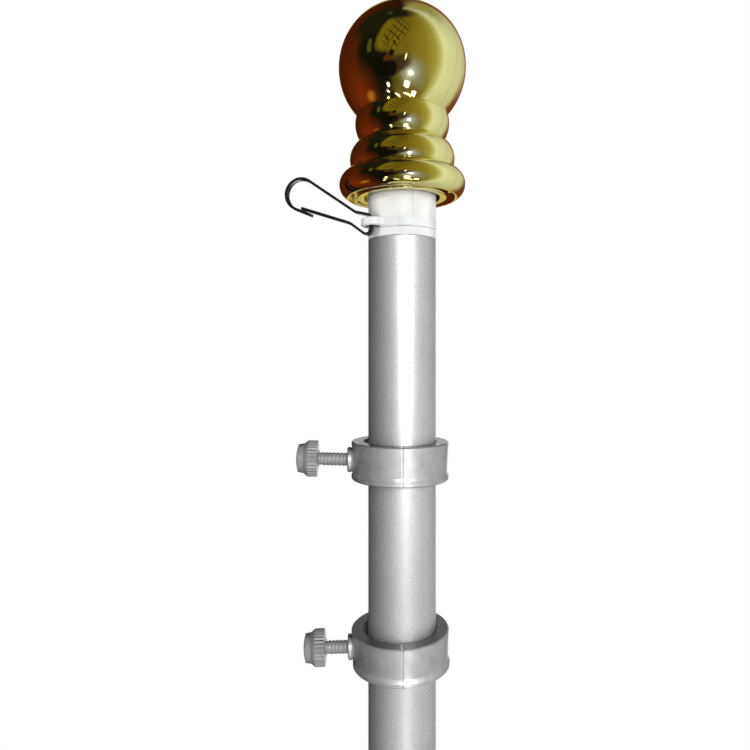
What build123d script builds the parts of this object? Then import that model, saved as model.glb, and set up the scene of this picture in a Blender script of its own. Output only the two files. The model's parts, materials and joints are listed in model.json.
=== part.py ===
from build123d import *
from math import acos, asin, atan2, cos, degrees, hypot, pi, radians, sin
import os

# Flagpole: a round aluminium pole in two sections with a gold ball finial,
# a swivelling band that carries a snap hook, and two sliding rings that
# thumb screws clamp to the pole. Millimetres, +Z up the pole. The origin is
# the centre of the base plug's lower face. The thumb screws point to -X.

# Pole sections
tube_od = 25.4
tube_wall = 1.0
lower_length = 869.0
upper_length = 869.0
tube_edge = 0.3

# Fits
push_gap = 0.1
running_gap = 0.3
screw_gap = 0.1

# Base plug, and the spigot inside the joint of the two sections
base_flange = 3.0
base_edge = 0.8
base_depth = 24.0
plug_wall = 2.0
spigot_length = 120.0

# Top plug: its barrel in the tube, the flange and the spindle above it.
# The spindle and the neck are measured inward from the tube's outside.
top_depth = 26.0
neck_flange = 2.9
spindle_inset = 3.2
spindle_bore = 10.0

# Swivel band and its eye, which reaches out past the tube's outside and
# stands a little higher than the band
band_height = 2.8
band_play = 0.1
band_proud = 0.2
band_edge = 0.35
eye_height = 3.0
eye_lift = 0.6
eye_reach = 4.9
eye_half_width = 4.5
eye_bar = 1.5
eye_slot_width = 6.0
eye_slot_inset = 0.6
eye_blend = 2.5
eye_bearing = 35.0

# Snap hook: one bent spring strip in an upright plane, which crosses the eye's
# bar askew. Its points are (outward, upward) from where the plane meets the bar.
hook_yaw = 49.0
hook_shift = 2.0
strip_width = 2.6
strip_thickness = 0.95
wrap_over = 0.37
wrap_room = 0.3
wrap_drop = 6.1
wrap_radius = 1.0
wrap_bottom_radius = 1.7
arm_start = (2.3, 3.8)
arm_bend_radius = 2.0
loop_radius = 5.75
loop_centre = (23.25, 11.45)
nose_tip = (19.1, 3.4)
gate_bend = (4.3, -0.15)
gate_bend_radius = 5.0
gate_end = (23.0, 6.25)

# Finial adaptor: the white neck between the band and the ball
adaptor_top = 34.0
adaptor_roof = 2.0
adaptor_edge = 0.3

# Ball finial, a thin shell: radii, and heights above the tube's top
finial_wall = 1.6
ball_radius = 23.8
ball_centre = 64.35
ball_foot_r = 16.9
ball_foot_z = 47.2
bead_1_r = 17.6
bead_1_z = 42.8
valley_r = 15.5
valley_z = 37.0
bead_2_r = 19.6
bead_2_z = 30.3
step_r = 18.6
step_z = 26.0
bead_3_r = 23.55
bead_3_z = 21.0
bead_3_foot_r = 20.6
finial_bottom = 15.6
throat_inset = 1.8
mouth_gap = 1.3
mouth_depth = 4.0
collar_wall = 2.9
groove_width = 2.7
groove_depth = 2.0
underside_edge = 0.5

# Sliding rings. A ring tips to the front by its share of what its play allows,
# and leans over sideways by degrees, with the screw's side down.
ring_play = 2.2
ring_wall = 4.4
ring_height = 14.2
ring_waist = 0.55
ring_edge = 0.4
lip_height = 2.4
lip_flare = 1.6
flash_width = 0.6
flash_proud = 0.35
boss_face_d = 9.5
boss_face_length = 1.4
boss_neck_d = 8.8
boss_flare_d = 12.6
boss_flare_length = 1.8
boss_proud = 1.5
boss_edge = 0.4
upper_ring_drop = 82.35
lower_ring_drop = 151.95
upper_tilt_share = 0.33
lower_tilt_share = 0.85
upper_lean = 0.0
lower_lean = 2.0

# Thumb screws: the shaft is the thread's core, and its crests reach past it.
# A screw's rise is the angle by which its knob stands up in the ring's hole.
screw_core_d = 4.5
thread_height = 0.25
screw_length = 23.95
lower_screw_back = 0.0
upper_screw_back = 2.75
lower_screw_rise = 0.0
upper_screw_rise = 1.5
cap_d = 10.4
cap_foot_d = 11.2
cap_length = 3.0
cap_crown = 0.8
shoulder_length = 1.5
grip_d = 13.6
grip_length = 3.6
grip_edge = 0.3
grip_back_dome = 0.35
flute_count = 32
flute_depth = 0.35
root_d = 6.0
root_length = 0.2

# Derived sizes and places
tube_r = tube_od / 2
tube_bore_r = tube_r - tube_wall
lower_bottom = base_flange
upper_bottom = lower_bottom + lower_length
tube_top = upper_bottom + upper_length
band_bottom = tube_top + neck_flange + band_play
bar_middle = band_bottom + eye_lift + eye_height / 2
adaptor_bottom = band_bottom + band_height + band_play
spindle_r = tube_r - spindle_inset
band_bore_r = spindle_r + running_gap
band_r = tube_r + band_proud
bar_distance = tube_r + eye_reach - eye_bar / 2
socket_r = tube_r + push_gap
ring_bore_r = tube_r + ring_play / 2
ring_r = ring_bore_r + ring_wall
screw_bore_r = screw_core_d / 2 + thread_height + screw_gap

base_up = (Align.CENTER, Align.CENTER, Align.MIN)


def disc(radius, height, bottom):
    """A plain round solid standing on the height `bottom`."""
    return Pos(0, 0, bottom) * Cylinder(radius, height, align=base_up)


def turned(outline):
    """A solid of revolution about Z from a closed outline of (radius, height) points."""
    return revolve(Plane.XZ * make_face(outline), Axis.Z)


def make_tube(bottom, length):
    """One section of the pole, with its cut ends deburred."""
    solid = disc(tube_r, length, bottom) - disc(tube_bore_r, length, bottom)
    return chamfer(solid.edges().filter_by(GeomType.CIRCLE), tube_edge)


def plug_barrel(bottom, length):
    """The thin round cup of a plug that is pushed into a tube."""
    outer = tube_bore_r - push_gap
    return disc(outer, length, bottom) - disc(outer - plug_wall, length, bottom)


def make_base_plug():
    flange = disc(tube_r, base_flange, 0)
    flange = chamfer(flange.edges().group_by(Axis.Z)[0], base_edge)
    return flange + plug_barrel(base_flange, base_depth)


def make_joint_spigot():
    return plug_barrel(upper_bottom - spigot_length / 2, spigot_length)


def make_top_plug():
    """Barrel, flange and spindle in one moulding, open down the middle."""
    barrel = plug_barrel(tube_top - top_depth, top_depth)
    flange = disc(tube_r, neck_flange, tube_top)
    spindle_height = adaptor_top - adaptor_roof - push_gap
    spindle = disc(spindle_r, spindle_height, tube_top)
    return barrel + flange + spindle - disc(spindle_bore / 2, spindle_height, tube_top)


def make_finial_adaptor():
    height = tube_top + adaptor_top - adaptor_bottom
    neck = disc(tube_r, height, adaptor_bottom)
    neck = chamfer(neck.edges().group_by(Axis.Z)[0], adaptor_edge)
    return neck - disc(spindle_r + push_gap, height - adaptor_roof, adaptor_bottom)


def make_swivel_band():
    """Round band on the spindle, with a rounded eye that the hook hangs in."""
    eye_centre = tube_r + eye_reach - eye_half_width
    core = Cylinder(band_r, eye_height, align=base_up)
    end = Cylinder(eye_half_width, eye_height, align=base_up)
    web = Box(eye_centre, 2 * eye_half_width, eye_height, align=(Align.MIN, Align.CENTER, Align.MIN))
    eye = core + web + Pos(eye_centre, 0, 0) * end
    root_x = (band_r ** 2 - eye_half_width ** 2) ** 0.5
    roots = [e for e in eye.edges().filter_by(Axis.Z) if abs(e.center().X - root_x) < push_gap]
    eye = fillet(roots, eye_blend)
    eye = chamfer(eye.edges().filter_by(Axis.Z, reverse=True), band_edge)
    eye -= Cylinder(band_r - push_gap, eye_height, align=base_up)
    ring = Cylinder(band_r, band_height, align=base_up)
    ring = chamfer(ring.edges().filter_by(GeomType.CIRCLE), band_edge)
    body = ring + Pos(0, 0, eye_lift) * eye
    slot_start = tube_r - eye_slot_inset
    slot_end = tube_r + eye_reach - eye_bar
    slot = RectangleRounded(slot_end - slot_start, eye_slot_width, eye_bar / 2)
    body -= extrude(Pos((slot_start + slot_end) / 2, 0) * slot, eye_lift + eye_height)
    body -= Cylinder(band_bore_r, band_height, align=base_up)
    return Pos(0, 0, band_bottom) * Rot(0, 0, 180 + eye_bearing) * body


def tangent_point(start, centre, radius, side):
    """Where the line from `start` touches a circle, on its upper (+1) or lower (-1) side."""
    away = hypot(centre[0] - start[0], centre[1] - start[1])
    heading = atan2(centre[1] - start[1], centre[0] - start[0]) + side * asin(radius / away)
    reach = (away ** 2 - radius ** 2) ** 0.5
    return (start[0] + reach * cos(heading), start[1] + reach * sin(heading))


def make_snap_hook():
    """A flat spring strip: nose, loop, arm, the wrap through the eye, and the gate."""
    lower_touch = tangent_point(nose_tip, loop_centre, loop_radius, -1)
    upper_touch = tangent_point(arm_start, loop_centre, loop_radius, 1)
    loop_far = (loop_centre[0] + loop_radius, loop_centre[1])
    yaw = radians(hook_yaw)
    leg_half = (strip_width * sin(yaw) + strip_thickness * cos(yaw)) / 2
    wrap_in = -(eye_bar / 2 + wrap_room + leg_half) / cos(yaw)
    wrap_top = eye_height / 2 + wrap_over + strip_thickness / 2
    path = Polyline(nose_tip, lower_touch)
    path += ThreePointArc(lower_touch, loop_far, upper_touch)
    path += FilletPolyline(
        upper_touch, arm_start, (wrap_in, wrap_top), (wrap_in, -wrap_drop), gate_bend, gate_end,
        radius=[arm_bend_radius, wrap_radius, wrap_bottom_radius, gate_bend_radius])
    strip = extrude(trace(path, strip_thickness), strip_width / 2, both=True)
    crossing = Rot(0, 0, 180 + eye_bearing) * Pos(bar_distance, -hook_shift, bar_middle)
    return crossing * Rot(0, 0, -hook_yaw) * Rot(90, 0, 0) * strip


def make_finial_shell():
    """Ball with three beads below it, a stepped socket for the neck and a groove underneath."""
    foot = (ball_foot_r, ball_foot_z)
    inner_foot = (ball_foot_r - finial_wall, ball_foot_z)
    inner_r = ball_radius - finial_wall
    top = ball_centre + ball_radius
    seat = adaptor_top + push_gap
    throat_r = tube_r - throat_inset
    mouth_r = tube_r + mouth_gap
    mouth_top = finial_bottom + mouth_depth
    collar_r = mouth_r + collar_wall
    groove_r = collar_r + groove_width
    groove_top = finial_bottom + groove_depth
    edge = underside_edge
    outline = Polyline((throat_r, seat), (socket_r, seat), (socket_r, mouth_top))
    outline += FilletPolyline(
        (socket_r, mouth_top), (mouth_r, mouth_top), (mouth_r, finial_bottom), (collar_r, finial_bottom),
        (collar_r, groove_top), (groove_r, groove_top), (groove_r, finial_bottom), (bead_3_foot_r, finial_bottom),
        radius=[edge / 2, edge, edge, edge, edge, edge])
    outline += ThreePointArc((bead_3_foot_r, finial_bottom), (bead_3_r, bead_3_z), (step_r, step_z))
    outline += ThreePointArc((step_r, step_z), (bead_2_r, bead_2_z), (valley_r, valley_z))
    outline += ThreePointArc((valley_r, valley_z), (bead_1_r, bead_1_z), foot)
    outline += TangentArc((ball_radius, ball_centre), foot, tangent=(0, -1))
    outline += CenterArc((0, ball_centre), ball_radius, 0, 90)
    outline += Line((0, top), (0, top - finial_wall))
    outline += CenterArc((0, ball_centre), inner_r, 0, 90)
    outline += TangentArc((inner_r, ball_centre), inner_foot, tangent=(0, -1))
    outline += Polyline(inner_foot, (throat_r, ball_foot_z - finial_wall), (throat_r, seat))
    return Pos(0, 0, tube_top) * turned(outline)


def ring_tilt(share):
    """How far a ring tips when its bore meets the pole top and bottom, times `share`, in degrees."""
    bore = 2 * ring_bore_r
    room = tube_od + 2 * running_gap
    most = acos(room / hypot(bore, ring_height)) - atan2(ring_height, bore)
    return degrees(most) * share


def ring_wall_solid(proud):
    """The ring's waisted wall with its lower lip, `proud` further out all round."""
    half = ring_height / 2
    outer = ring_r + proud
    waist = (outer - ring_waist, lip_height + lip_flare / 2 - half)
    flare_bend = (outer - ring_waist * 0.6, lip_height - half)
    lip_top = (outer, lip_height - lip_flare / 2 - half)
    outline = Polyline(
        lip_top, (outer, ring_edge - half), (outer - ring_edge, -half), (ring_bore_r, -half),
        (ring_bore_r, half), (outer - ring_edge, half), (outer, half - ring_edge))
    outline += ThreePointArc((outer, half - ring_edge), (outer - ring_waist * 0.7, 0), waist)
    outline += ThreePointArc(waist, flare_bend, lip_top)
    return turned(outline)


def boss_solid():
    """The round boss for the screw, standing up along Z from the ring's axis, with its flare."""
    face = ring_r + boss_proud
    neck_top = face - boss_face_length
    flare_start = neck_top - boss_flare_length
    neck_r = boss_neck_d / 2
    flare_r = boss_flare_d / 2
    bend = (neck_r + (flare_r - neck_r) * 0.25, neck_top - boss_flare_length * 0.6)
    outline = Polyline(
        (neck_r, neck_top), (boss_face_d / 2, neck_top), (boss_face_d / 2, face - boss_edge),
        (boss_face_d / 2 - boss_edge, face), (0, face), (0, ring_bore_r), (flare_r, ring_bore_r),
        (flare_r, flare_start))
    outline += ThreePointArc((flare_r, flare_start), bend, (neck_r, neck_top))
    return turned(outline)


def ring_pull(lean):
    """How far the screw pulls its ring over to -X: until the far wall meets the pole."""
    return ring_bore_r - tube_r - running_gap - ring_height / 2 * sin(radians(lean))


def ring_place(drop, tilt_share, lean):
    """Where a ring sits on the pole: pulled over, tipped and leaned."""
    return Pos(-ring_pull(lean), 0, tube_top - drop) * Rot(ring_tilt(tilt_share), -lean, 0)


def make_ring(place):
    toward_screw = Rot(0, -90, 0)
    body = ring_wall_solid(0)
    flash = ring_wall_solid(flash_proud) & Box(flash_width, 2 * tube_od, ring_height)
    body += flash + toward_screw * boss_solid()
    body -= Cylinder(ring_bore_r, ring_height)
    body -= toward_screw * Cylinder(screw_bore_r, ring_r + boss_proud, align=base_up)
    return place * body


def flute_cutter(bottom, height):
    """Everything outside a fluted round bar, as tall as the grip: one notched band."""
    grip_r = grip_d / 2
    points = []
    for i in range(2 * flute_count):
        radius = grip_r if i % 2 == 0 else grip_r - flute_depth
        turn = pi * i / flute_count
        points.append((radius * cos(turn), radius * sin(turn)))
    star = make_face(Polyline(*points, close=True))
    return Pos(0, 0, bottom) * extrude(Circle(grip_d) - star, height)


def screw_place(ring_location, lean, back, rise):
    """Where a screw's tip sits: `back` from the pole, along its ring's hole or a little askew in it."""
    hole_middle = ring_bore_r + (ring_wall + boss_proud) / 2
    tip = tube_r + running_gap + back - ring_pull(lean)
    return ring_location * Pos(-hole_middle, 0, 0) * Rot(0, rise, 0) * Pos(hole_middle - tip, 0, 0)


def make_thumb_screw(place):
    """Knob and shaft as one moulding, made standing on the shaft's tip, then laid along -X."""
    core_r = screw_core_d / 2
    root_r = root_d / 2
    grip_r = grip_d / 2
    cap_r = cap_d / 2
    cap_foot_r = cap_foot_d / 2
    cap_start = screw_length - cap_length
    shoulder = cap_start - shoulder_length
    grip_start = shoulder - grip_length
    back_start = grip_start - grip_back_dome
    root_start = back_start - root_length
    rim = screw_length - cap_crown
    crown_r = (cap_r ** 2 + cap_crown ** 2) / (2 * cap_crown)
    bend = (cap_foot_r + (grip_r - cap_foot_r) * 0.3, cap_start - shoulder_length * 0.25)
    outline = Polyline(
        (0, screw_length), (0, 0), (core_r, 0), (core_r, root_start), (root_r, root_start),
        (root_r, back_start), (grip_r - grip_edge, grip_start), (grip_r, grip_start + grip_edge),
        (grip_r, shoulder))
    outline += ThreePointArc((grip_r, shoulder), bend, (cap_foot_r, cap_start))
    outline += Line((cap_foot_r, cap_start), (cap_r, rim))
    outline += RadiusArc((cap_r, rim), (0, screw_length), -crown_r)
    solid = turned(outline) - flute_cutter(back_start, shoulder - back_start)
    return place * Rot(0, -90, 0) * solid


def main():
    upper_ring_place = ring_place(upper_ring_drop, upper_tilt_share, upper_lean)
    lower_ring_place = ring_place(lower_ring_drop, lower_tilt_share, lower_lean)
    upper_screw_place = screw_place(upper_ring_place, upper_lean, upper_screw_back, upper_screw_rise)
    lower_screw_place = screw_place(lower_ring_place, lower_lean, lower_screw_back, lower_screw_rise)
    nodes = {
        "base_plug": make_base_plug(),
        "lower_tube": make_tube(lower_bottom, lower_length),
        "joint_spigot": make_joint_spigot(),
        "upper_tube": make_tube(upper_bottom, upper_length),
        "top_plug": make_top_plug(),
        "swivel_band": make_swivel_band(),
        "snap_hook": make_snap_hook(),
        "finial_adaptor": make_finial_adaptor(),
        "finial_shell": make_finial_shell(),
        "upper_ring": make_ring(upper_ring_place),
        "upper_thumb_screw": make_thumb_screw(upper_screw_place),
        "lower_ring": make_ring(lower_ring_place),
        "lower_thumb_screw": make_thumb_screw(lower_screw_place),
    }
    os.makedirs("parts", exist_ok=True)
    for name, solid in nodes.items():
        export_step(solid, f"parts/{name}.step")


main()
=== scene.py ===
import bpy
import json
from math import cos, pi, radians, sin
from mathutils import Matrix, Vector


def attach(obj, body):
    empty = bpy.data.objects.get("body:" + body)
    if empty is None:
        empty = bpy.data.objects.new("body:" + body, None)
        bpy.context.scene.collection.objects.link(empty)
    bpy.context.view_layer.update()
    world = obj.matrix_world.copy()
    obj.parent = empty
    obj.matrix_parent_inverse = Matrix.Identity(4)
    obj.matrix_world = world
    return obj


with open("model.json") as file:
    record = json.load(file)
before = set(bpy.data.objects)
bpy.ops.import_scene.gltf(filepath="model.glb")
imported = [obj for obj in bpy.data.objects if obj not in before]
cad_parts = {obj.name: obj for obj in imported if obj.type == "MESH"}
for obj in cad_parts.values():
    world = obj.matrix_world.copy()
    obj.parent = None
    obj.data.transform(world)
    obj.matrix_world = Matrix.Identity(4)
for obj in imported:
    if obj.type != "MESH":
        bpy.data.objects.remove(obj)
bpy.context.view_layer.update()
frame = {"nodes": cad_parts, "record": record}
nodes = frame["nodes"]

MM = 0.001

# Sockets of the Mix node when it mixes colours
MIX_FIRST = 6
MIX_SECOND = 7
MIX_RESULT = 2


# Helpers for procedural materials

def grey(level):
    """A colour with one level for red, green and blue."""
    return level, level, level


def new_material(name):
    """An empty node material, its tree, its Principled shader and its surface coordinates."""
    material = bpy.data.materials.new(name)
    material.use_nodes = True
    tree = material.node_tree
    tree.nodes.clear()
    output = tree.nodes.new("ShaderNodeOutputMaterial")
    shader = tree.nodes.new("ShaderNodeBsdfPrincipled")
    tree.links.new(shader.outputs[0], output.inputs["Surface"])
    where = tree.nodes.new("ShaderNodeTexCoord").outputs["Object"]
    return material, tree, shader, where


def math_node(tree, operation, first, second=None):
    """One step of arithmetic; either value is a number or a socket."""
    step = tree.nodes.new("ShaderNodeMath")
    step.operation = operation
    for socket, value in zip(step.inputs, (first, second)):
        if value is None:
            continue
        if isinstance(value, (int, float)):
            socket.default_value = value
        else:
            tree.links.new(value, socket)
    return step.outputs[0]


def stretched(tree, where, factors):
    """The coordinates times a factor on each axis, so that a pattern runs along one of them."""
    step = tree.nodes.new("ShaderNodeVectorMath")
    step.operation = "MULTIPLY"
    tree.links.new(where, step.inputs[0])
    step.inputs[1].default_value = factors
    return step.outputs[0]


def noise(tree, where, size_mm, detail=2.0):
    """Noise whose blotches are about `size_mm` across."""
    step = tree.nodes.new("ShaderNodeTexNoise")
    tree.links.new(where, step.inputs["Vector"])
    step.inputs["Scale"].default_value = 1 / (size_mm * MM)
    step.inputs["Detail"].default_value = detail
    return step.outputs["Fac"]


def spots(tree, where, spacing_mm, share):
    """1 in small round spots that are scattered over the surface, and 0 elsewhere."""
    step = tree.nodes.new("ShaderNodeTexVoronoi")
    tree.links.new(where, step.inputs["Vector"])
    step.inputs["Scale"].default_value = 1 / (spacing_mm * MM)
    return math_node(tree, "LESS_THAN", step.outputs["Distance"], share)


def spread(tree, value, low, high, start=0.3, end=0.7):
    """A value from start to end mapped onto low to high; most noise lies from 0.3 to 0.7."""
    step = tree.nodes.new("ShaderNodeMapRange")
    tree.links.new(value, step.inputs["Value"])
    for name, number in (("From Min", start), ("From Max", end), ("To Min", low), ("To Max", high)):
        step.inputs[name].default_value = number
    return step.outputs["Result"]


def blend_colour(tree, amount, first, second):
    """The first colour at 0 and the second at 1; either is a colour or a socket."""
    step = tree.nodes.new("ShaderNodeMix")
    step.data_type = "RGBA"
    tree.links.new(amount, step.inputs["Factor"])
    for socket, colour in ((step.inputs[MIX_FIRST], first), (step.inputs[MIX_SECOND], second)):
        if isinstance(colour, tuple):
            socket.default_value = (*colour, 1)
        else:
            tree.links.new(colour, socket)
    return step.outputs[MIX_RESULT]


def bump(tree, shader, height, depth_mm):
    """The shader's surface raised by `height`, where 1 stands for `depth_mm`."""
    step = tree.nodes.new("ShaderNodeBump")
    step.inputs["Strength"].default_value = 1.0
    step.inputs["Distance"].default_value = depth_mm * MM
    tree.links.new(height, step.inputs["Height"])
    tree.links.new(step.outputs[0], shader.inputs["Normal"])


def seam_mask(tree, where, turn, half_width_mm, offset_mm=0.0):
    """1 in a thin band along an upright plane, and 0 elsewhere.

    The plane passes through the pole's axis, `turn` degrees right of the front, or
    lies `offset_mm` to the right of that.
    """
    step = tree.nodes.new("ShaderNodeVectorMath")
    step.operation = "DOT_PRODUCT"
    tree.links.new(where, step.inputs[0])
    step.inputs[1].default_value = (cos(radians(turn)), sin(radians(turn)), 0)
    past = math_node(tree, "SUBTRACT", step.outputs["Value"], offset_mm * MM)
    return math_node(tree, "LESS_THAN", math_node(tree, "ABSOLUTE", past), half_width_mm * MM)


def end_mask(tree):
    """1 on faces that look up or down, and 0 on upright ones."""
    parts = tree.nodes.new("ShaderNodeSeparateXYZ")
    tree.links.new(tree.nodes.new("ShaderNodeNewGeometry").outputs["True Normal"], parts.inputs[0])
    upright = math_node(tree, "ABSOLUTE", parts.outputs["Z"])
    return spread(tree, upright, low=0, high=1, start=0.8, end=0.95)


# Materials for the slots of the record

# The mould line on the front of a ring: where its ridge and the groove beside it lie, in
# millimetres right of the pole's axis, and how wide they are; the ridge is painted paler as
# a painted highlight, and the groove darker as painted shade
RIDGE_AT = -0.8
RIDGE_HALF_WIDTH = 0.26
GROOVE_AT = RIDGE_AT + 0.47
GROOVE_HALF_WIDTH = 0.17

# Where the seams run down the neck and the finial, degrees right of the front
NECK_SEAM_TURN = 16
FINIAL_SEAM_TURN = 53


def satin_aluminium():
    """Anodised tube: a fine grain, faint lines along the pole and slow clouds."""
    material, tree, shader, where = new_material("satin_aluminium")
    dark, pale = (0.53, 0.53, 0.535), (0.73, 0.73, 0.735)
    grain = noise(tree, where, size_mm=0.45, detail=3)
    lines = noise(tree, stretched(tree, where, (1, 1, 0.02)), size_mm=0.25)
    cloud = noise(tree, where, size_mm=18)
    tone = math_node(tree, "MULTIPLY", grain, spread(tree, cloud, low=0.9, high=1.1))
    colour = blend_colour(tree, spread(tree, tone, 0, 1), dark, pale)
    tree.links.new(colour, shader.inputs["Base Color"])
    tree.links.new(spread(tree, grain, low=0.37, high=0.49), shader.inputs["Roughness"])
    shader.inputs["Metallic"].default_value = 0.8
    line_share = 0.6
    height = math_node(tree, "ADD", grain, math_node(tree, "MULTIPLY", lines, line_share))
    bump(tree, shader, height, depth_mm=0.014)
    return material


def white_nylon(name, seam_turn=None):
    """Moulded nylon with slow clouds, small pits and a few grey streaks of painted reflection, and a
    seam at `seam_turn`.
    """
    material, tree, shader, where = new_material(name)
    dark, pale = (0.82, 0.82, 0.815), (0.88, 0.88, 0.875)
    reflection_grey, seam_grey = grey(0.62), grey(0.66)
    cloud = noise(tree, where, size_mm=5, detail=3)
    pits = noise(tree, where, size_mm=0.5)
    reflection_streaks = noise(tree, stretched(tree, where, (1, 1, 0.4)), size_mm=5)
    colour = blend_colour(tree, spread(tree, cloud, 0, 1), dark, pale)
    # Grey streaks painted into the colour in place of reflections on the glossy nylon: painted
    # reflection
    painted_reflection = spread(tree, reflection_streaks, low=0.5, high=0, start=0.30, end=0.44)
    colour = blend_colour(tree, painted_reflection, colour, reflection_grey)
    cloud_share = 3.0
    height = math_node(tree, "ADD", pits, math_node(tree, "MULTIPLY", cloud, cloud_share))
    if seam_turn is not None:
        seam = seam_mask(tree, where, seam_turn, half_width_mm=0.12)
        colour = blend_colour(tree, seam, colour, seam_grey)
        height = math_node(tree, "ADD", height, seam)
    tree.links.new(colour, shader.inputs["Base Color"])
    tree.links.new(spread(tree, pits, low=0.34, high=0.46), shader.inputs["Roughness"])
    shader.inputs["Subsurface Weight"].default_value = 0.15
    shader.inputs["Subsurface Scale"].default_value = 1.5 * MM
    bump(tree, shader, height, depth_mm=0.03)
    return material


def gold_plated_plastic():
    """Mirror-bright plating on moulded plastic: a slow swell, dust, faint scuffs and a seam."""
    material, tree, shader, where = new_material("gold_plated_plastic")
    dark, pale, mark_gold = (0.76, 0.68, 0.26), (0.80, 0.72, 0.29), (0.52, 0.45, 0.20)
    swell = noise(tree, where, size_mm=9, detail=1)
    dust = spots(tree, where, spacing_mm=3.2, share=0.07)
    fine_dust = spots(tree, where, spacing_mm=1.1, share=0.06)
    scuffs = noise(tree, stretched(tree, where, (1, 1, 0.3)), size_mm=1.4, detail=4)
    seam = seam_mask(tree, where, FINIAL_SEAM_TURN, half_width_mm=0.09)
    marks = math_node(tree, "MAXIMUM", math_node(tree, "MAXIMUM", dust, fine_dust), seam)
    colour = blend_colour(tree, spread(tree, swell, 0, 1), dark, pale)
    colour = blend_colour(tree, marks, colour, mark_gold)
    tree.links.new(colour, shader.inputs["Base Color"])
    shader.inputs["Metallic"].default_value = 1.0
    shader.inputs["Coat Weight"].default_value = 0.45
    shader.inputs["Coat Roughness"].default_value = 0.22
    mark_roughness = 0.25
    polish = spread(tree, scuffs, low=0.03, high=0.10, start=0.4, end=0.75)
    rough = math_node(tree, "MAXIMUM", polish, math_node(tree, "MULTIPLY", marks, mark_roughness))
    tree.links.new(rough, shader.inputs["Roughness"])
    swell_share, dust_share = 0.6, 0.5
    height = math_node(tree, "SUBTRACT", math_node(tree, "MULTIPLY", swell, swell_share), seam)
    height = math_node(tree, "ADD", height, math_node(tree, "MULTIPLY", dust, dust_share))
    bump(tree, shader, height, depth_mm=0.02)
    return material


def black_spring():
    """Coated spring strip, worn greyer in places."""
    material, tree, shader, where = new_material("black_spring")
    coated, bare = (0.012, 0.012, 0.013), (0.06, 0.06, 0.062)
    cloud = noise(tree, where, size_mm=2.5, detail=3)
    fine = noise(tree, where, size_mm=0.3)
    worn = spread(tree, cloud, low=0, high=1, start=0.62, end=0.72)
    tree.links.new(blend_colour(tree, worn, coated, bare), shader.inputs["Base Color"])
    shader.inputs["Specular IOR Level"].default_value = 0.35
    tree.links.new(spread(tree, fine, low=0.24, high=0.38), shader.inputs["Roughness"])
    bump(tree, shader, fine, depth_mm=0.02)
    return material


def frosted_plastic(name, pale, dark, metallic, flash=False):
    """Satin moulded plastic with painted shade on faces that look up or down; `flash` marks the mould
    line down the front of a ring, with a painted highlight on its ridge and painted shade in its
    groove.
    """
    material, tree, shader, where = new_material(name)
    end_shade_grey, ridge_highlight_grey, groove_shade_grey, speck_grey = grey(0.20), grey(0.60), grey(0.24), grey(0.66)
    cloud = noise(tree, where, size_mm=4, detail=3)
    frost = noise(tree, where, size_mm=0.5, detail=3)
    flow = noise(tree, stretched(tree, where, (1, 1, 0.35)), size_mm=2.2, detail=3)
    specks = spots(tree, where, spacing_mm=1.7, share=0.07)
    colour = blend_colour(tree, spread(tree, cloud, 0, 1), dark, pale)
    # Faces that look up or down are painted dark grey: painted shade
    colour = blend_colour(tree, end_mask(tree), colour, end_shade_grey)
    flow_share, groove_share = 2.0, 4.0
    height = math_node(tree, "ADD", frost, math_node(tree, "MULTIPLY", flow, flow_share))
    if flash:
        ridge = seam_mask(tree, where, 0, RIDGE_HALF_WIDTH, RIDGE_AT)
        groove = seam_mask(tree, where, 0, GROOVE_HALF_WIDTH, GROOVE_AT)
        # A paler line on the ridge is a painted highlight; a darker line in the groove beside it is
        # painted shade, and the groove is also sunk by the bump
        colour = blend_colour(tree, ridge, colour, ridge_highlight_grey)
        colour = blend_colour(tree, groove, colour, groove_shade_grey)
        height = math_node(tree, "SUBTRACT", height, math_node(tree, "MULTIPLY", groove, groove_share))
    colour = blend_colour(tree, specks, colour, speck_grey)
    tree.links.new(colour, shader.inputs["Base Color"])
    tree.links.new(spread(tree, flow, low=0.34, high=0.46), shader.inputs["Roughness"])
    shader.inputs["Metallic"].default_value = metallic
    shader.inputs["Transmission Weight"].default_value = 0.1
    shader.inputs["IOR"].default_value = 1.46
    bump(tree, shader, height, depth_mm=0.01)
    return material


def ring_plastic():
    pale, dark = (0.58, 0.585, 0.585), (0.46, 0.465, 0.465)
    return frosted_plastic("frosted_plastic", pale, dark, metallic=0.75, flash=True)


def screw_plastic():
    pale, dark = (0.44, 0.445, 0.445), (0.36, 0.365, 0.365)
    return frosted_plastic("screw_plastic", pale, dark, metallic=0.15)


def wear(node, material):
    """The node shows this material alone."""
    data = nodes[node].data
    data.materials.clear()
    data.materials.append(material)


def dress():
    """Each CAD node gets the material of its slot; the neck and the screws get their own.

    The screws' material is returned for their threads.
    """
    by_slot = {
        "satin_aluminium": satin_aluminium(),
        "white_nylon": white_nylon("white_nylon"),
        "gold_plated_plastic": gold_plated_plastic(),
        "black_spring": black_spring(),
        "frosted_plastic": ring_plastic(),
    }
    for part in frame["record"]["subparts"]:
        wear(part["node"], by_slot[part["material_slot"]])
    wear("finial_adaptor", white_nylon("neck_nylon", NECK_SEAM_TURN))
    screw_material = screw_plastic()
    wear("upper_thumb_screw", screw_material)
    wear("lower_thumb_screw", screw_material)
    return screw_material


# The moulded threads of the thumb screws

PITCH = 1.43 * MM
CORE_R = 2.25 * MM
CREST_R = 2.5 * MM
SHAFT = 15.3 * MM

# The ridge: points round one turn, where it starts on the shaft and the turns over which
# it rises at each end
STEPS = 36
RIDGE_START = 0.6 * PITCH
RISE_TURNS = 0.5

# Its section: each point's place along the pitch and its height, as shares of the pitch and
# of the crest's height, less the share by which it is sunk into the shaft
SECTION = [(-0.46, -0.06), (-0.22, 0.75), (0.0, 1.0), (0.22, 0.75), (0.46, -0.06)]
SUNK = 0.05
SHARP = radians(60)


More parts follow.
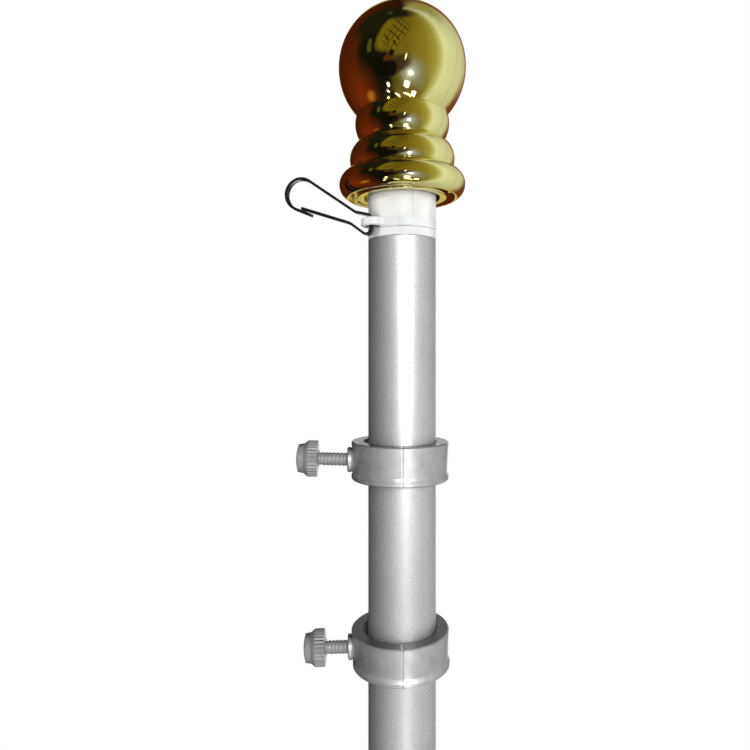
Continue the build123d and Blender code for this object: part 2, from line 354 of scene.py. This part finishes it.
def screw_line(joint_name, node):
    """A thumb screw's tip, and the way from it to the knob, from its joint and its own reach."""
    joint = next(j for j in frame["record"]["behaviour"]["joints"] if j["name"] == joint_name)
    middle = Vector(joint["pos_m"])
    way = Vector(joint["axis"]).normalized()
    screw = nodes[node]
    reach = min((screw.matrix_world @ v.co - middle).dot(way) for v in screw.data.vertices)
    return middle + way * reach, way


def thread_mesh(name, tip, way):
    """One helical ridge with a round crest, from the shaft's tip to the knob."""
    across = way.cross(Vector((0, 0, 1))).normalized()
    over = across.cross(way)
    last = int((SHAFT - PITCH) / PITCH * STEPS)
    verts = []
    for i in range(last + 1):
        turn = 2 * pi * i / STEPS
        along = RIDGE_START + PITCH * i / STEPS
        rise = min(1.0, i / STEPS / RISE_TURNS, (last - i) / STEPS / RISE_TURNS)
        for offset, height in SECTION:
            radius = CORE_R + (CREST_R - CORE_R) * (height * rise - SUNK)
            centre = tip + way * (along + offset * PITCH)
            verts.append(centre + across * radius * cos(turn) + over * radius * sin(turn))
    count = len(SECTION)
    faces = []
    for i in range(last):
        first, following = i * count, (i + 1) * count
        for k in range(count - 1):
            faces.append((first + k, first + k + 1, following + k + 1, following + k))
        faces.append((following - 1, first, following, following + count - 1))
    faces.append(tuple(range(count)))
    faces.append(tuple(reversed(range(last * count, last * count + count))))
    mesh = bpy.data.meshes.new(name)
    mesh.from_pydata(verts, [], faces)
    mesh.shade_smooth()
    mesh.set_sharp_from_angle(angle=SHARP)
    return mesh


def make_thread(side, material):
    """The thread of the upper or the lower thumb screw, which turns with it."""
    name = f"{side}_screw_thread"
    mesh = thread_mesh(name, *screw_line(f"{side}_screw_turn", f"{side}_thumb_screw"))
    mesh.materials.append(material)
    thread = bpy.data.objects.new(name, mesh)
    bpy.context.scene.collection.objects.link(thread)
    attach(thread, f"{side}_screw")
    return thread


# Camera, floor and world

# Where the camera stands; then, in pixels, the picture's width, the focal length and the
# row that lies at the camera's own height
CAMERA_AT = Vector((-0.01018, -0.263, 1.69416))
PICTURE = 750
FOCAL_LENGTH = 700
LEVEL_ROW = 365
SENSOR_MM = 36
NEAREST_MM = 10

FLOOR_RADIUS = 0.45
FLOOR_SIDES = 96
WORLD_LEVEL = 0.2
WHITE = grey(1.0)


def make_camera():
    """A level camera that looks along +Y, with its picture shifted down a little."""
    data = bpy.data.cameras.new("camera")
    data.sensor_width = SENSOR_MM
    data.lens = SENSOR_MM * FOCAL_LENGTH / PICTURE
    data.shift_y = (LEVEL_ROW - PICTURE / 2) / PICTURE
    data.clip_start = NEAREST_MM * MM
    camera = bpy.data.objects.new("camera", data)
    camera.location = CAMERA_AT
    camera.rotation_euler = (pi / 2, 0, 0)
    bpy.context.scene.collection.objects.link(camera)
    bpy.context.scene.camera = camera


def make_floor():
    """A pale round floor under the pole."""
    verts = []
    for i in range(FLOOR_SIDES):
        turn = 2 * pi * i / FLOOR_SIDES
        verts.append((FLOOR_RADIUS * cos(turn), FLOOR_RADIUS * sin(turn), 0))
    mesh = bpy.data.meshes.new("floor")
    mesh.from_pydata(verts, [], [tuple(range(FLOOR_SIDES))])
    material, tree, shader, where = new_material("floor")
    cloud = spread(tree, noise(tree, where, size_mm=60), 0, 1)
    tree.links.new(blend_colour(tree, cloud, grey(0.80), grey(0.83)), shader.inputs["Base Color"])
    shader.inputs["Roughness"].default_value = 0.7
    mesh.materials.append(material)
    floor = bpy.data.objects.new("floor", mesh)
    bpy.context.scene.collection.objects.link(floor)
    return floor


def background(tree, level):
    """White light of this strength from the world."""
    step = tree.nodes.new("ShaderNodeBackground")
    step.inputs["Color"].default_value = (*WHITE, 1)
    step.inputs["Strength"].default_value = level
    return step.outputs[0]


def make_world():
    """White for the camera, reflections and transmission; softer light for the rest."""
    world = bpy.data.worlds.new("studio")
    bpy.context.scene.world = world
    world.use_nodes = True
    tree = world.node_tree
    tree.nodes.clear()
    path = tree.nodes.new("ShaderNodeLightPath")
    shown = math_node(tree, "MAXIMUM", path.outputs["Is Camera Ray"], path.outputs["Is Glossy Ray"])
    shown = math_node(tree, "MAXIMUM", shown, path.outputs["Is Transmission Ray"])
    mix = tree.nodes.new("ShaderNodeMixShader")
    tree.links.new(shown, mix.inputs[0])
    tree.links.new(background(tree, WORLD_LEVEL), mix.inputs[1])
    tree.links.new(background(tree, 1.0), mix.inputs[2])
    output = tree.nodes.new("ShaderNodeOutputWorld")
    tree.links.new(mix.outputs[0], output.inputs[0])


# Lamps and studio domes

def group_of(name, members):
    """The pieces that a lamp or a dome shines on."""
    collection = bpy.data.collections.new(name)
    for member in members:
        collection.objects.link(member)
    return collection


def place(target, turn, lift, distance):
    """A point at `distance` from the target, `turn` degrees right of the front and `lift` up."""
    flat = cos(radians(lift))
    way = Vector((sin(radians(turn)) * flat, -cos(radians(turn)) * flat, sin(radians(lift))))
    return target + way * distance


def make_lamp(name, receivers, target, turn, lift, distance, size, watts, shape="RECTANGLE"):
    """An area lamp that looks at the target and lights its receivers alone."""
    data = bpy.data.lights.new(name, "AREA")
    data.shape = shape
    data.size, data.size_y = size
    data.energy = watts
    lamp = bpy.data.objects.new(name, data)
    lamp.location = place(target, turn, lift, distance)
    lamp.rotation_euler = (lamp.location - target).to_track_quat("Z", "Y").to_euler()
    bpy.context.scene.collection.objects.link(lamp)
    lamp.light_linking.receiver_collection = receivers


def ramp(tree, value, stops):
    """A colour ramp: each stop is a value from 0 to 1 and its colour."""
    step = tree.nodes.new("ShaderNodeValToRGB")
    tree.links.new(value, step.inputs["Fac"])
    points = step.color_ramp.elements
    while len(points) < len(stops):
        points.new(0.5)
    for point, (position, colour) in zip(points, stops):
        point.position = position
        point.color = (*colour, 1)
    return step.outputs["Color"]


def turn_stops(stops):
    """Ramp stops from turns in degrees right of the front, and their colours."""
    return [((turn + 180) / 360, colour) for turn, colour in stops]


def lift_stops(stops):
    """Ramp stops from lifts in degrees above the level, and their brightness."""
    return [((lift + 90) / 180, grey(level)) for lift, level in stops]


def form_space(tree, spot, turn, lift, half_wide, half_high, roll):
    """Coordinates that run from -1 to 1 across a form on a dome, and from -1 to 1 up it."""
    step = tree.nodes.new("ShaderNodeMapping")
    step.vector_type = "TEXTURE"
    tree.links.new(spot, step.inputs["Vector"])
    step.inputs["Location"].default_value = (turn, lift, 0)
    step.inputs["Rotation"].default_value = (0, 0, radians(roll))
    step.inputs["Scale"].default_value = (half_wide, half_high, 1)
    parts = tree.nodes.new("ShaderNodeSeparateXYZ")
    tree.links.new(step.outputs[0], parts.inputs[0])
    return parts.outputs["X"], parts.outputs["Y"]


def form_mask(tree, spot, area, soft, corners):
    """1 inside a form on a dome and 0 outside, with a soft edge; many corners make it a box."""
    across, up = form_space(tree, spot, *area)
    across = math_node(tree, "POWER", math_node(tree, "ABSOLUTE", across), corners)
    up = math_node(tree, "POWER", math_node(tree, "ABSOLUTE", up), corners)
    away = math_node(tree, "POWER", math_node(tree, "ADD", across, up), 1 / corners)
    return spread(tree, away, low=0, high=1, start=1 + soft, end=1 - soft)


def lattice_mask(tree, spot, area, columns, rows, line):
    """1 on the bars of a lattice and 0 between them and outside it."""
    across, up = form_space(tree, spot, *area)
    inside = form_mask(tree, spot, area, soft=0.04, corners=20)
    bars = 0
    for value, count in ((across, columns), (up, rows)):
        cells = math_node(tree, "MULTIPLY", math_node(tree, "ADD", value, 1), count / 2)
        off_centre = math_node(tree, "SUBTRACT", math_node(tree, "FRACT", cells), 0.5)
        edge = math_node(tree, "ABSOLUTE", off_centre)
        bar = math_node(tree, "GREATER_THAN", edge, 0.5 - line * count / 2)
        bars = math_node(tree, "MAXIMUM", bars, bar)
    return math_node(tree, "MULTIPLY", bars, inside)


# The domes stand round this point near the top of the pole, and each ends at this lift in
# degrees, just short of straight up and straight down
DOME_CENTRE = (0, 0, 1.75)
DOME_SIDES = 72
DOME_ROWS = 36
DOME_END = 89.9


def dome_mesh(name, radius):
    verts = []
    for i in range(DOME_SIDES):
        for k in range(DOME_ROWS + 1):
            lift = -DOME_END + 2 * DOME_END * k / DOME_ROWS
            verts.append(place(Vector((0, 0, 0)), 360 * i / DOME_SIDES, lift, radius))
    faces = []
    for i in range(DOME_SIDES):
        here = i * (DOME_ROWS + 1)
        beside = ((i + 1) % DOME_SIDES) * (DOME_ROWS + 1)
        for k in range(DOME_ROWS):
            faces.append((here + k, beside + k, beside + k + 1, here + k + 1))
    mesh = bpy.data.meshes.new(name)
    mesh.from_pydata(verts, [], faces)
    return mesh


def dome_directions(tree, radius):
    """The turn round the pole and the lift above the level of a point on a dome, in radians."""
    parts = tree.nodes.new("ShaderNodeSeparateXYZ")
    tree.links.new(tree.nodes.new("ShaderNodeTexCoord").outputs["Object"], parts.inputs[0])
    toward = math_node(tree, "MULTIPLY", parts.outputs["Y"], -1)
    turn = math_node(tree, "ARCTAN2", parts.outputs["X"], toward)
    lift = math_node(tree, "ARCSINE", math_node(tree, "DIVIDE", parts.outputs["Z"], radius))
    return turn, lift


def dome_spot(tree, turn, lift):
    """The turn and the lift in degrees, as coordinates for the forms."""
    spot = tree.nodes.new("ShaderNodeCombineXYZ")
    tree.links.new(spread(tree, turn, -180, 180, -pi, pi), spot.inputs["X"])
    tree.links.new(spread(tree, lift, -90, 90, -pi / 2, pi / 2), spot.inputs["Y"])
    return spot.outputs[0]


def dome_shade(tree, turn, lift, turns, lifts):
    """A colour that follows the turn, times a brightness that follows the lift."""
    turn = spread(tree, turn, 0, 1, -pi, pi)
    lift = spread(tree, lift, 0, 1, -pi / 2, pi / 2)
    both = tree.nodes.new("ShaderNodeMix")
    both.data_type = "RGBA"
    both.blend_type = "MULTIPLY"
    both.inputs["Factor"].default_value = 1
    tree.links.new(ramp(tree, turn, turn_stops(turns)), both.inputs[MIX_FIRST])
    tree.links.new(ramp(tree, lift, lift_stops(lifts)), both.inputs[MIX_SECOND])
    return both.outputs[MIX_RESULT]


def dome_glow(tree, radius, turns, lifts, forms, lattice, windows):
    """The dome's shade with forms painted over it, a lattice, and windows that shine."""
    turn, lift = dome_directions(tree, radius)
    spot = dome_spot(tree, turn, lift)
    colour = dome_shade(tree, turn, lift, turns, lifts)
    for area, soft, corners, tint in forms:
        colour = blend_colour(tree, form_mask(tree, spot, area, soft, corners), colour, tint)
    if lattice is not None:
        area, columns, rows, line, tint = lattice
        bars = lattice_mask(tree, spot, area, columns, rows, line)
        colour = blend_colour(tree, bars, colour, tint)
    glow = tree.nodes.new("ShaderNodeEmission")
    if windows:
        shine = 0
        for area, soft, corners in windows:
            window = form_mask(tree, spot, area, soft, corners)
            shine = math_node(tree, "MAXIMUM", shine, window)
        colour = blend_colour(tree, shine, colour, WHITE)
        strength = spread(tree, shine, low=1, high=WINDOW_LIGHT, start=0, end=1)
        tree.links.new(strength, glow.inputs["Strength"])
    tree.links.new(colour, glow.inputs["Color"])
    return glow.outputs[0]


def make_dome(name, radius, turns, lifts, receivers=None, forms=(), lattice=None, windows=()):
    """A studio dome round the pole, which only reflections show.

    A dome with receivers adds its light to what lies behind it, and only they see it.
    """
    material = bpy.data.materials.new(name)
    material.use_nodes = True
    tree = material.node_tree
    tree.nodes.clear()
    surface = dome_glow(tree, radius, turns, lifts, forms, lattice, windows)
    if receivers is not None:
        added = tree.nodes.new("ShaderNodeAddShader")
        tree.links.new(surface, added.inputs[0])
        tree.links.new(tree.nodes.new("ShaderNodeBsdfTransparent").outputs[0], added.inputs[1])
        surface = added.outputs[0]
    output = tree.nodes.new("ShaderNodeOutputMaterial")
    tree.links.new(surface, output.inputs["Surface"])
    mesh = dome_mesh(name, radius)
    mesh.materials.append(material)
    dome = bpy.data.objects.new(name, mesh)
    dome.location = DOME_CENTRE
    bpy.context.scene.collection.objects.link(dome)
    dome.visible_camera = False
    dome.visible_diffuse = False
    dome.visible_transmission = False
    dome.visible_volume_scatter = False
    dome.visible_shadow = False
    if receivers is not None:
        dome.light_linking.receiver_collection = receivers


# The gold dome by turn: brown on the left, dark, olive in front, pale on the right
GOLD_RADIUS = 2.1
GOLD_TURNS = [
    (-180, (0.030, 0.006, 0.001)), (-150, (0.060, 0.008, 0.002)), (-127, (0.075, 0.012, 0.001)),
    (-108, (0.075, 0.012, 0.001)), (-92, (0.085, 0.013, 0.001)), (-84, (0.030, 0.008, 0.002)),
    (-76, (0.004, 0.005, 0.003)), (-30, grey(0.002)), (-14, (0.13, 0.11, 0.02)),
    (10, (0.21, 0.17, 0.02)), (38, (0.31, 0.25, 0.04)), (57, (0.42, 0.40, 0.13)),
    (66, (0.60, 0.62, 0.35)), (76, (0.90, 0.98, 1.00)), (90, (0.82, 0.90, 0.90)),
    (110, (0.74, 0.81, 0.80)), (130, (0.68, 0.71, 0.62)), (142, (0.60, 0.55, 0.35)),
    (156, (0.20, 0.05, 0.02)), (180, (0.040, 0.015, 0.004))]
GOLD_LIFTS = [(-90, 0.5), (-45, 0.9), (-10, 1.0), (35, 1.0), (70, 0.7), (90, 0.4)]

# Forms on the gold dome, each over those before it: turn, lift, half width, half height
# and roll in degrees, then the softness of the edge, the squareness, and the colour
GOLD_FORMS = [
    ((-105, -26, 28, 24, 0), 0.9, 2, (0.20, 0.026, 0.002)),
    ((-88, -38, 9, 5, 0), 0.8, 2, (0.55, 0.22, 0.02)),
    ((156, -8, 22, 20, 0), 0.35, 3, (0.17, 0.055, 0.01)),
    ((132, 68, 30, 14, 0), 0.5, 3, (0.33, 0.32, 0.12)),
    ((180, 12, 13, 34, 0), 0.15, 6, (0.60, 0.52, 0.20)),
    ((-180, 12, 13, 34, 0), 0.15, 6, (0.60, 0.52, 0.20)),
    ((-78, 58, 46, 19, 0), 0.3, 3, (0.010, 0.010, 0.006)),
    ((-20, 36, 27, 27, -12), 0.15, 4, (0.20, 0.16, 0.016)),
    ((-45, 77, 90, 9, 0), 0.3, 3, (0.008, 0.009, 0.005)),
    ((-62, 76, 12, 3, 0), 0.3, 2, (0.05, 0.055, 0.03)),
    ((-61, 24, 4, 9, 8), 0.15, 8, (0.09, 0.10, 0.03)),
    ((28, -34, 24, 30, 30), 0.12, 3, (0.27, 0.25, 0.11)),
    ((20, -28, 17, 19, 10), 0.9, 2, (0.30, 0.33, 0.38)),
    ((13, -22, 12, 10, 0), 0.95, 2, (0.46, 0.52, 0.90)),
    ((-10, -12, 24, 12, 20), 0.25, 3, (0.05, 0.03, 0.012)),
    ((-27, -16, 15, 12, -10), 0.15, 3, grey(0.001)),
    ((-26, 1, 9, 5, 20), 0.2, 2, (0.10, 0.03, 0.006)),
    ((-20, 7, 4, 5, -20), 0.1, 4, (0.003, 0.003, 0.002)),
    ((10, -62, 44, 18, 0), 0.3, 3, (0.16, 0.13, 0.03)),
    ((-42, -62, 20, 12, 0), 0.3, 3, (0.012, 0.012, 0.006))]

# Its lattice: the same five values, then columns, rows, the bars' half width and the colour
GOLD_LATTICE = ((-13, 40, 17, 27, -36), 4, 5, 0.035, (0.02, 0.018, 0.004))

# Its windows: the same five values, then the softness and the squareness
GOLD_WINDOWS = [
    ((9, -43, 6, 5, -14), 0.12, 8), ((-35, -40, 2.2, 3.2, 25), 0.15, 6),
    ((34, -55, 6, 3.4, 0), 0.15, 5), ((16, -59, 13, 1.1, -6), 0.3, 3),
    ((-17, -60, 8, 1.1, -25), 0.3, 3), ((-42, -50, 3.5, 1.3, -35), 0.3, 3),
    ((-52, -58, 3, 1.2, 0), 0.3, 3), ((4, 0, 0.6, 5, -14), 0.5, 2)]
WINDOW_LIGHT = 7.0

# The grey dome by turn, for all but the finial and the hook: darkest behind, brightest in
# front, and dark above the back
PLAIN_RADIUS = 2.2
PLAIN_TURNS = [
    (turn, grey(level)) for turn, level in (
        (-180, 0.01), (-150, 0.02), (-106, 0.08), (-64, 0.32), (-45, 0.54), (-20, 0.76),
        (11, 0.88), (42, 0.84), (77, 0.70), (125, 0.50), (155, 0.22), (180, 0.02))]
PLAIN_LIFTS = [(-90, 0.5), (-25, 1.0), (25, 1.0), (50, 0.4), (90, 0.25)]
PLAIN_FORMS = [
    ((turn, 54, 72, 40, 0), 0.2, 6, grey(0.02)) for turn in (180, -180)]

# The dark dome, which reflections show where no other dome lights it
DARK_RADIUS = 2.3
DARK_TURNS = [(-180, grey(0.004)), (180, grey(0.004))]
DARK_LIFTS = [(-90, 1), (90, 1)]


def make_lamps(threads, floor):
    """Soft lamps for the pole's pieces, each group with the ones that it needs."""
    finial = Vector((0, 0, 1.79))
    neck = Vector((0, 0, 1.75))
    hook_middle = Vector((-0.03, -0.01, 1.75))
    shaft = Vector((0, 0, 1.69))
    between_rings = Vector((0, 0, 1.63))
    upper_middle = Vector((0, 0, 1.2))
    lower_middle = Vector((0, 0, 0.6))
    foot = Vector((0, 0, 0))
    gold = group_of("gold", [nodes["finial_shell"]])
    nylon = group_of("nylon", [nodes[n] for n in ("finial_adaptor", "swivel_band", "top_plug")])
    rings = group_of("rings", [nodes["upper_ring"], nodes["lower_ring"]])
    hook = group_of("hook", [nodes["snap_hook"]])
    plain = group_of("plain", [nodes[n] for n in nodes if n != "finial_shell"] + threads)
    ground = group_of("ground", [floor])
    make_lamp("key", plain, shaft, 10, 10, 0.6, size=(0.28, 0.25), watts=2.3)
    make_lamp("ring_key", rings, between_rings, 14, -10, 0.6, size=(0.2, 0.2), watts=0.45)
    make_lamp("low", plain, lower_middle, 14, 0, 0.9, size=(0.3, 1.0), watts=2.4)
    make_lamp("back", plain, upper_middle, 170, 5, 1.4, size=(0.8, 1.6), watts=9.0)
    make_lamp("left_fill", nylon, neck, -75, 5, 0.6, size=(0.3, 0.3), watts=1.3)
    make_lamp("right_fill", nylon, neck, 85, 5, 0.6, size=(0.3, 0.3), watts=1.2)
    make_lamp("hook_light", hook, hook_middle, 45, 12, 0.5, size=(0.2, 0.2), watts=1.2)
    make_lamp("flash", gold, finial, 14, -23, 0.28, size=(0.026, 0.026), watts=0.3, shape="ELLIPSE")
    make_lamp("floor_light", ground, foot, 35, 72, 2.5, size=(1.0, 1.0), watts=40.0)


def make_domes(threads):
    """What the pieces reflect: the gold dome, the grey dome, or for the hook only the dark one."""
    gold = group_of("gold_reflection", [nodes["finial_shell"]])
    gold_or_dark = ("finial_shell", "snap_hook")
    soft = group_of("grey_reflection", [nodes[n] for n in nodes if n not in gold_or_dark] + threads)
    make_dome("dark_dome", DARK_RADIUS, DARK_TURNS, DARK_LIFTS)
    make_dome("grey_dome", PLAIN_RADIUS, PLAIN_TURNS, PLAIN_LIFTS, soft, PLAIN_FORMS)
    make_dome(
        "gold_dome", GOLD_RADIUS, GOLD_TURNS, GOLD_LIFTS, gold, GOLD_FORMS, GOLD_LATTICE,
        GOLD_WINDOWS)


screw_material = dress()
threads = [make_thread(side, screw_material) for side in ("upper", "lower")]
make_camera()
make_world()
make_lamps(threads, make_floor())
make_domes(threads)
bpy.context.scene.view_settings.view_transform = "Standard"
